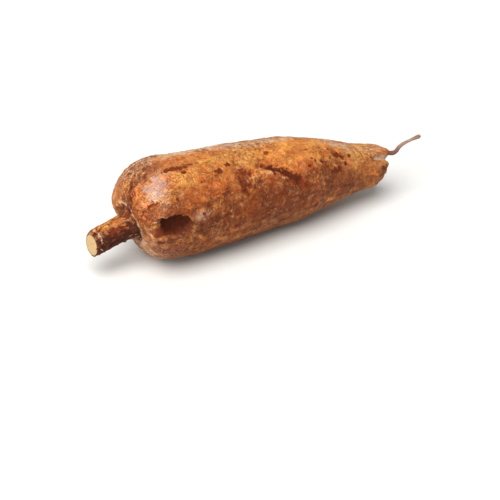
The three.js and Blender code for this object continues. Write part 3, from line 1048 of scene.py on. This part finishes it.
# The thin root left at the tip, and where it sinks into the split.
def tailRoot():
    line = smoothLine(tailShape["line"])
    length = runAlong(line)[-1]
    outline = evenly(smoothLine([(share * length, radius) for share, radius in tailShape["outline"]]),
                     tailShape["rings"])
    mesh = spunSkin("tailRoot", np.vstack([(0, 0), outline, (length, 0)]), tailShape["sides"])
    straight = placesOf(mesh)
    uneven = 0.16 * lumps(straight, "tailFibre") - 0.3 * bell(lumps(straight, "tailRing") / 0.1) - 0.1
    pushed = straight + placesOf(mesh, "normal") * uneven[:, None]
    marks = np.linspace(0, length, len(line))
    places = bendAlong(line, marks, pushed) + rootShape["middle"]
    movePlaces(mesh, places * mm)
    share = straight[:, 0] / length + 0.12 * lumps(straight, "tailBase")
    paint(mesh, "based", 1 - ease(share, 0.35, 0.62))
    paint(mesh, "flow", straight)
    print("tail root:", len(mesh.vertices), "points")
    return mesh


# Small chips of bark, lifted at one side: most of them at the torn edges and on the cracked bark.
# Sizes are in millimetres.
chips = {"count": 520, "long": (1.4, 4.6), "wide": (0.8, 2.4), "thick": 0.2, "lift": (0.1, 0.45),
         "seed": 11, "brighter": 1.1}

# Pale scraps of the inner bark, torn up near the saw cut and along the scar's brow.
shreds = {"count": 26, "long": (1, 2.3), "wide": (0.6, 1.2), "thick": 0.14, "lift": (0.1, 0.4),
          "seed": 5, "brighter": 1}

# Each lies along the grain or across it, turned a little, narrows to its ends, and has its near side
# sunk in the bark.
flake = {"turns": (0, math.pi / 2), "astray": 0.4, "narrow": 1.1, "ragged": 0.16, "sunk": 0.12,
         "uneven": 0.06}


def chipOn(bm, point, normal, draw, kind):
    # a curled flake, its near side sunk in the bark and its far side lifted
    side = Vector((1, 0, 0)) if abs(normal.x) < 0.8 else Vector((0, 0, 1))
    along = (side - normal * side.dot(normal)).normalized()
    turn = draw.choice(flake["turns"]) + draw.gauss(0, flake["astray"])
    along = Matrix.Rotation(turn, 3, normal) @ along
    across = normal.cross(along)
    long, wide, lift = (draw.uniform(*kind[key]) for key in ("long", "wide", "lift"))
    patch = bmesh.ops.create_grid(bm, x_segments=4, y_segments=3, size=0.5)
    for vert in patch["verts"]:
        x, y = vert.co.x, vert.co.y
        narrow = 1 - flake["narrow"] * x * x + draw.uniform(-flake["ragged"], flake["ragged"])
        height = lift * (y + 0.5) ** 2 - flake["sunk"] + draw.uniform(-flake["uneven"], flake["uneven"])
        vert.co = point + along * (x * long) + across * (y * wide * narrow) + normal * height


def chipSpots(skin):
    # most chips are at the edges of the flaked bark, and few on the outline above
    torn = skin["tornStep"]
    edges = bell((skin["flaked"] - 0.5) / 0.3) + 2.5 * torn * bell(torn - 0.6)
    cracked = bell((skin["a"] - 6) / 14) * ease(np.sin(skin["phi"]), 0.2, 0.8)
    weights = (0.15 + edges + 0.8 * cracked + 0.3 * skin["neck"]) * (1 - skin["pit"])
    weights *= (skin["places"][:, 2] > 3) * (1 - 0.9 * bell(past(skin, 112) / 16))
    weights[skin["cut"] | (skin["a"] > 214)] = 0
    return weights


def shredSpots(skin):
    weights = spot(skin, -33.1, 62, 0.9, 7) * skin["neck"]
    weights += 0.35 * skin["brow"] * bell((skin["a"] - 8) / 5)
    weights[skin["cut"]] = 0
    return weights


def smallPieces(name, kind, weights, mesh):
    draw = random.Random(kind["seed"])
    places, normals = placesOf(mesh) / mm, placesOf(mesh, "normal")
    bm = bmesh.new()
    for chosen in draw.choices(range(len(places)), weights=weights, k=kind["count"]):
        chipOn(bm, Vector(places[chosen]), Vector(normals[chosen]), draw, kind)
    bmesh.ops.solidify(bm, geom=bm.faces[:], thickness=kind["thick"])
    bmesh.ops.recalc_face_normals(bm, faces=bm.faces)
    small = bpy.data.meshes.new(name)
    bm.to_mesh(small)
    bm.free()
    finishSmallPieces(small, mesh, kind["brighter"])
    print(name, kind["count"])
    return small


def finishSmallPieces(small, mesh, brighter):
    # takes the colour and flow of the bark below, and moves millimetres to metres
    tree = kdtree.KDTree(len(mesh.vertices))
    for vertex in mesh.vertices:
        tree.insert(vertex.co, vertex.index)
    tree.balance()
    nearest = [tree.find(Vector(place) * mm)[1] for place in placesOf(small)]
    colours = np.zeros(len(mesh.vertices) * 4)
    mesh.attributes["skinColour"].data.foreach_get("color", colours)
    flow = np.zeros(len(mesh.vertices) * 3)
    mesh.attributes["flow"].data.foreach_get("vector", flow)
    paint(small, "skinColour", np.minimum(colours.reshape(-1, 4)[nearest] * brighter, 1))
    paint(small, "flow", flow.reshape(-1, 3)[nearest])
    movePlaces(small, placesOf(small) * mm)


# The viewpoint: turned from the -Y side towards the neck, and looking down on the root.
view = {"turn": 25, "elevation": 32, "distance": 1.0, "aim": (-0.02292, -0.02533, 0), "span": 0.385}


def addCamera():
    turn = math.radians(view["turn"])
    elevation = math.radians(view["elevation"])
    towards = Vector((-math.sin(turn) * math.cos(elevation), -math.cos(turn) * math.cos(elevation),
                      math.sin(elevation)))
    camera = bpy.data.objects.new("camera", bpy.data.cameras.new("camera"))
    camera.location = Vector(view["aim"]) + towards * view["distance"]
    camera.rotation_euler = towards.to_track_quat("Z", "Y").to_euler()
    camera.data.sensor_width = 36
    camera.data.lens = 36 * view["distance"] / view["span"]
    bpy.context.scene.collection.objects.link(camera)
    bpy.context.scene.camera = camera


# A pale floor, an even room, one large soft lamp overhead and a weaker one at the neck's end. Each
# lamp's width is in degrees, as seen from the root.
studio = {
    "floorColour": "#cccbc8",
    "roomColour": "#fbfaf8",
    "roomStrength": 0.45,
    "lamps": {
        "overheadLamp": {"from": (-0.35, -0.28, 0.89), "strength": 4.35, "width": 54},
        "sideLamp": {"from": (-0.92, -0.36, 0.16), "strength": 2.45, "width": 60},
    },
}


def addStudio():
    floor = bpy.data.meshes.new("floor")
    bm = bmesh.new()
    bmesh.ops.create_grid(bm, x_segments=1, y_segments=1, size=4)
    bm.to_mesh(floor)
    bm.free()
    material, tree, surface = startMaterial("paleFloor")
    surface.inputs["Base Color"].default_value = linearColour(studio["floorColour"])
    surface.inputs["Roughness"].default_value = 0.9
    addPiece("floor", floor, material)
    world = bpy.data.worlds.new("studio")
    world.use_nodes = True
    world.node_tree.nodes["Background"].inputs["Color"].default_value = linearColour(studio["roomColour"])
    world.node_tree.nodes["Background"].inputs["Strength"].default_value = studio["roomStrength"]
    bpy.context.scene.world = world
    bpy.context.scene.view_settings.view_transform = "Standard"
    for name, lamp in studio["lamps"].items():
        sun = bpy.data.lights.new(name, "SUN")
        sun.energy = lamp["strength"]
        sun.angle = math.radians(lamp["width"])
        light = bpy.data.objects.new(name, sun)
        light.rotation_euler = Vector(lamp["from"]).to_track_quat("Z", "Y").to_euler()
        bpy.context.scene.collection.objects.link(light)
    print("studio: floor, room and lamps")


addCamera()
addStudio()
bark = waxedBark()
skinMesh, skinData = rootSkin()
skin = addPiece("rootSkin", skinMesh, bark, sawnWood())
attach(skin, "root")
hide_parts("cassava_root")
tail = addPiece("tailRoot", tailRoot(), dryFibre("dryRootlet"))
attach(tail, "root")
flakes = addPiece("barkChips", smallPieces("barkChips", chips, chipSpots(skinData), skinMesh), bark)
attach(flakes, "root")
slivers = addPiece("paleShreds", smallPieces("paleShreds", shreds, shredSpots(skinData), skinMesh),
                   dryFibre("dryInnerBark"))
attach(slivers, "root")
